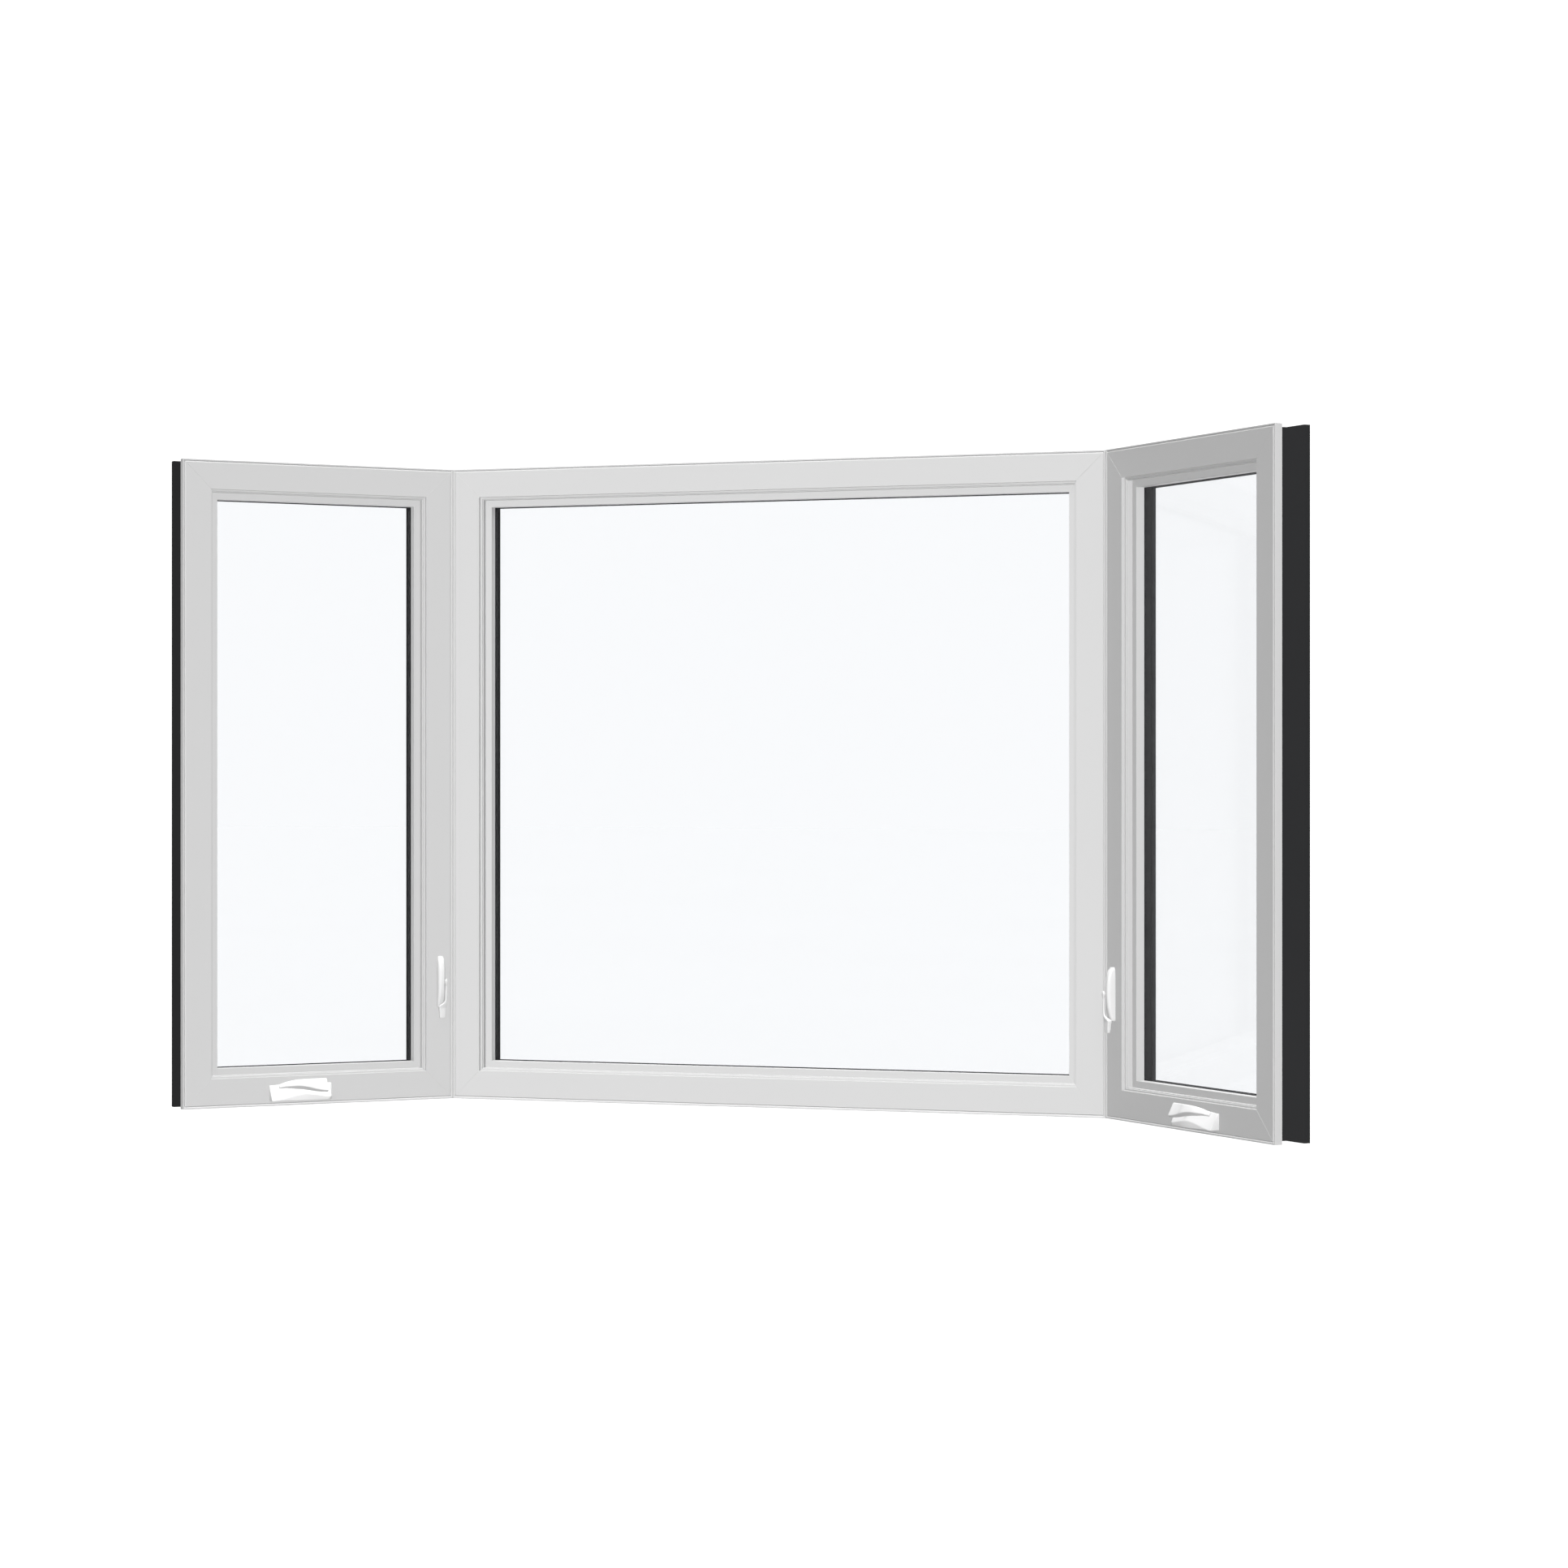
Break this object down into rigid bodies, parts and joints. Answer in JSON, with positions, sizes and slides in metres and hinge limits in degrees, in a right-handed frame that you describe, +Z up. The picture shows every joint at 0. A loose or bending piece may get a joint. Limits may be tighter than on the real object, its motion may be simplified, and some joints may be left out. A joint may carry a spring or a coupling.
{
  "type": "bay window",
  "caption": "Bay window with a fixed centre light between angled crank casements, white framed on the room side and dark outdoors.",
  "frame": {"origin": "bottom centre of the whole window's box, on the surface that the sills stand on", "axes": "+X to the right as seen from the room, +Y from the room towards the outdoors, +Z up"},
  "size_m": [2.1604, 0.4538, 1.2192],
  "materials": {
    "room_finish": "satin white vinyl",
    "outdoor_finish": "fine matt charcoal",
    "hardware": "smooth white enamel",
    "glass": "clear insulated glass",
    "edge_spacer": "black edge spacer"
  },
  "bodies": {
    "root": {"center_frame_head": "room_finish", "center_frame_left_jamb": "room_finish", "center_frame_right_jamb": "room_finish", "center_frame_sill": "room_finish", "center_glass": "glass", "center_sash_rails": "room_finish", "center_sash_stiles": "room_finish", "center_shell_jambs": "outdoor_finish", "center_shell_rails": "outdoor_finish", "center_spacer": "edge_spacer", "center_stop_rails": "outdoor_finish", "center_stop_stiles": "outdoor_finish", "left_crank_cover": "hardware", "left_crank_handle": "hardware", "left_frame_head": "room_finish", "left_frame_left_jamb": "room_finish", "left_frame_right_jamb": "room_finish", "left_frame_sill": "room_finish", "left_glass": "glass", "left_lock_housing": "hardware", "left_lock_lever": "hardware", "left_mullion": "outdoor_finish", "left_sash_rails": "room_finish", "left_sash_stiles": "room_finish", "left_shell_jambs": "outdoor_finish", "left_shell_rails": "outdoor_finish", "left_spacer": "edge_spacer", "left_stop_rails": "outdoor_finish", "left_stop_stiles": "outdoor_finish", "right_crank_cover": "hardware", "right_crank_handle": "hardware", "right_frame_head": "room_finish", "right_frame_left_jamb": "room_finish", "right_frame_right_jamb": "room_finish", "right_frame_sill": "room_finish", "right_glass": "glass", "right_lock_housing": "hardware", "right_lock_lever": "hardware", "right_mullion": "outdoor_finish", "right_sash_rails": "room_finish", "right_sash_stiles": "room_finish", "right_shell_jambs": "outdoor_finish", "right_shell_rails": "outdoor_finish", "right_spacer": "edge_spacer", "right_stop_rails": "outdoor_finish", "right_stop_stiles": "outdoor_finish"}
  },
  "joints": []
}
